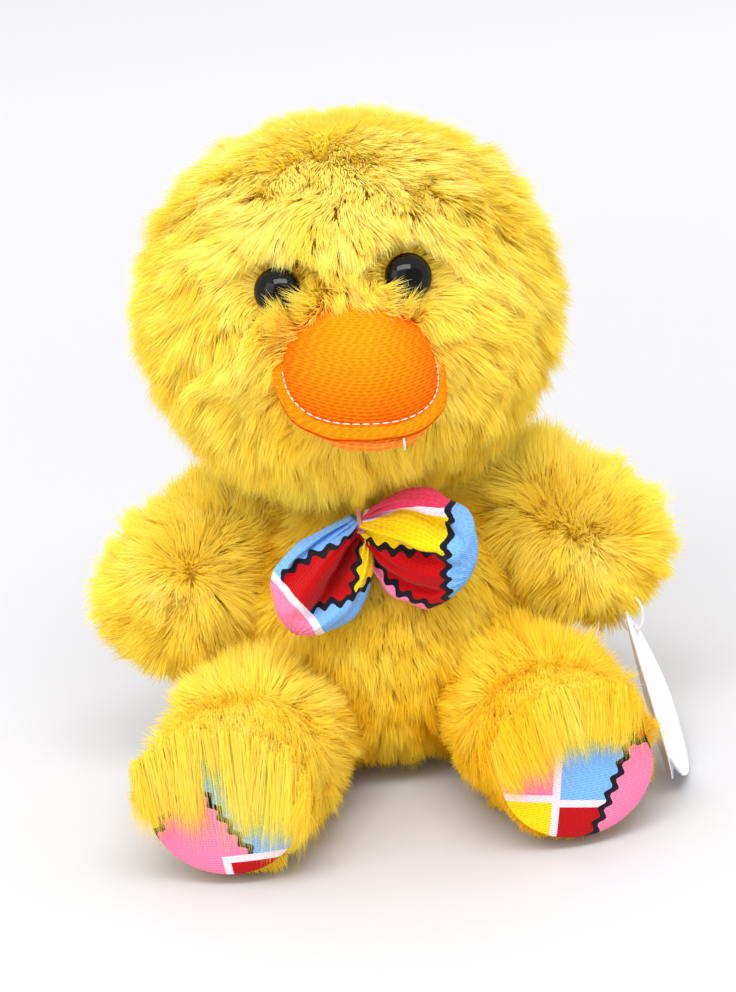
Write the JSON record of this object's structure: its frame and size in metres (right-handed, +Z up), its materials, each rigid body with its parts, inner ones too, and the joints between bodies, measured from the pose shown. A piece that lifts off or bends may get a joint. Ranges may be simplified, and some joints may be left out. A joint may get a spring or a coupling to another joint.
{
  "type": "plush duck",
  "caption": "Sitting plush duck in yellow fur with a padded orange bill, domed eyes, a patchwork knit bow, patterned foot soles and a blank folded swing tag on one wing.",
  "frame": {"origin": "centre of the flat that the torso sits on", "axes": "+Z up, the duck faces -Y, +X towards the duck's own left"},
  "size_m": [0.2015, 0.1517, 0.2305],
  "materials": {
    "fur": "long pile plush",
    "stuffing": "loose polyester fibre",
    "bill_knit": "fine ribbed knit",
    "knit_print": "fine knit printed with coloured patches",
    "eye": "polished dome",
    "washer": "moulded",
    "white_thread": "spun sewing thread",
    "pink_thread": "spun sewing thread",
    "card": "coated, blank",
    "loop": "thin flexible loop"
  },
  "bodies": {
    "torso": {"torso_skin": "fur", "torso_stuffing": "stuffing"},
    "head": {"head_skin": "fur", "head_stuffing": "stuffing", "eye_left": "eye", "eye_right": "eye", "eye_washer_left": "washer", "eye_washer_right": "washer", "bill_upper": "bill_knit", "bill_upper_stuffing": "stuffing", "bill_lower": "bill_knit", "bill_lower_stuffing": "stuffing", "bill_topstitch": "white_thread"},
    "wing_left": {"wing_left_skin": "fur", "wing_left_stuffing": "stuffing", "tag_loop": "loop"},
    "wing_right": {"wing_right_skin": "fur", "wing_right_stuffing": "stuffing"},
    "leg_left": {"leg_left_skin": "fur", "leg_left_stuffing": "stuffing", "sole_left": "knit_print"},
    "leg_right": {"leg_right_skin": "fur", "leg_right_stuffing": "stuffing", "sole_right": "knit_print"},
    "bow": {"bow_cloth": "knit_print", "bow_thread": "pink_thread"},
    "tag": {"tag_card": "card"}
  },
  "joints": [
    {"name": "head_nod", "type": "hinge", "parent": "torso", "child": "head", "pos_m": [0, 0, 0.1], "axis": [1, 0, 0], "range_deg": [-14, 2], "stiffness_Nm_per_rad": 0.6},
    {"name": "wing_left_lift", "type": "hinge", "parent": "torso", "child": "wing_left", "pos_m": [0.038, 0.002, 0.095], "axis": [0, -1, 0], "range_deg": [0, 22], "stiffness_Nm_per_rad": 0.08},
    {"name": "wing_right_lift", "type": "hinge", "parent": "torso", "child": "wing_right", "pos_m": [-0.038, 0.002, 0.095], "axis": [0, 1, 0], "range_deg": [0, 22], "stiffness_Nm_per_rad": 0.08},
    {"name": "leg_left_lift", "type": "hinge", "parent": "torso", "child": "leg_left", "pos_m": [0.037, -0.018, 0.032], "axis": [-1, 0, 0], "range_deg": [0, 15], "stiffness_Nm_per_rad": 0.12},
    {"name": "leg_right_lift", "type": "hinge", "parent": "torso", "child": "leg_right", "pos_m": [-0.037, -0.018, 0.032], "axis": [-1, 0, 0], "range_deg": [0, 15], "stiffness_Nm_per_rad": 0.12},
    {"name": "bow_swivel", "type": "hinge", "parent": "torso", "child": "bow", "pos_m": [-0.0035, -0.04191, 0.1025], "axis": [0, 1, 0], "range_deg": [-8, 8], "stiffness_Nm_per_rad": 0.02},
    {"name": "tag_swing", "type": "hinge", "parent": "wing_left", "child": "tag", "pos_m": [0.08421, -0.02067, 0.04214], "axis": [-0.9689, 0.0338, -0.2453], "range_deg": [0, 15]}
  ]
}
